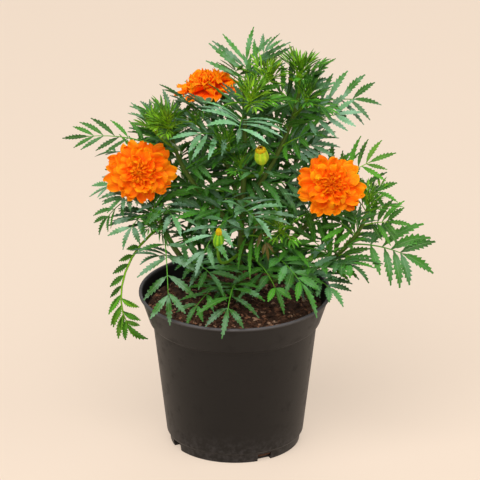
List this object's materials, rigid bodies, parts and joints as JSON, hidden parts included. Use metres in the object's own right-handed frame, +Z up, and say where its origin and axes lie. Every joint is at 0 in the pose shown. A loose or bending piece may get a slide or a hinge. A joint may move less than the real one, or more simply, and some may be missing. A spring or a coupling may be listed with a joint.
{
  "type": "potted french marigold",
  "caption": "Bushy French marigold with feathery leaves, double orange blooms and buds, growing in soil in a tapered nursery pot.",
  "frame": {"origin": "middle of the pot's flat underside, on the surface that the pot stands on", "axes": "+Z up, +X to the right and +Y to the back as seen in the picture"},
  "size_m": [0.2942, 0.1794, 0.3333],
  "materials": {
    "pot": "satin",
    "soil": "matte",
    "leaf": "satin",
    "petal": "matte",
    "bud_tip": "satin"
  },
  "bodies": {
    "root": {"pot": "pot", "soil": "soil", "stem_leader": "leaf", "stem_left_flower": "leaf", "stem_right_flower": "leaf", "stem_top_flower": "leaf", "stem_upper_right": "leaf", "stem_upper_left": "leaf", "stem_low_right": "leaf", "stem_front_bud": "leaf", "stem_low_bud": "leaf", "stem_back_left": "leaf", "stem_back_right": "leaf", "tip_front_bud": "bud_tip", "tip_low_bud": "bud_tip", "bloom_left": "petal", "bloom_right": "petal", "bloom_top": "petal"}
  },
  "joints": []
}
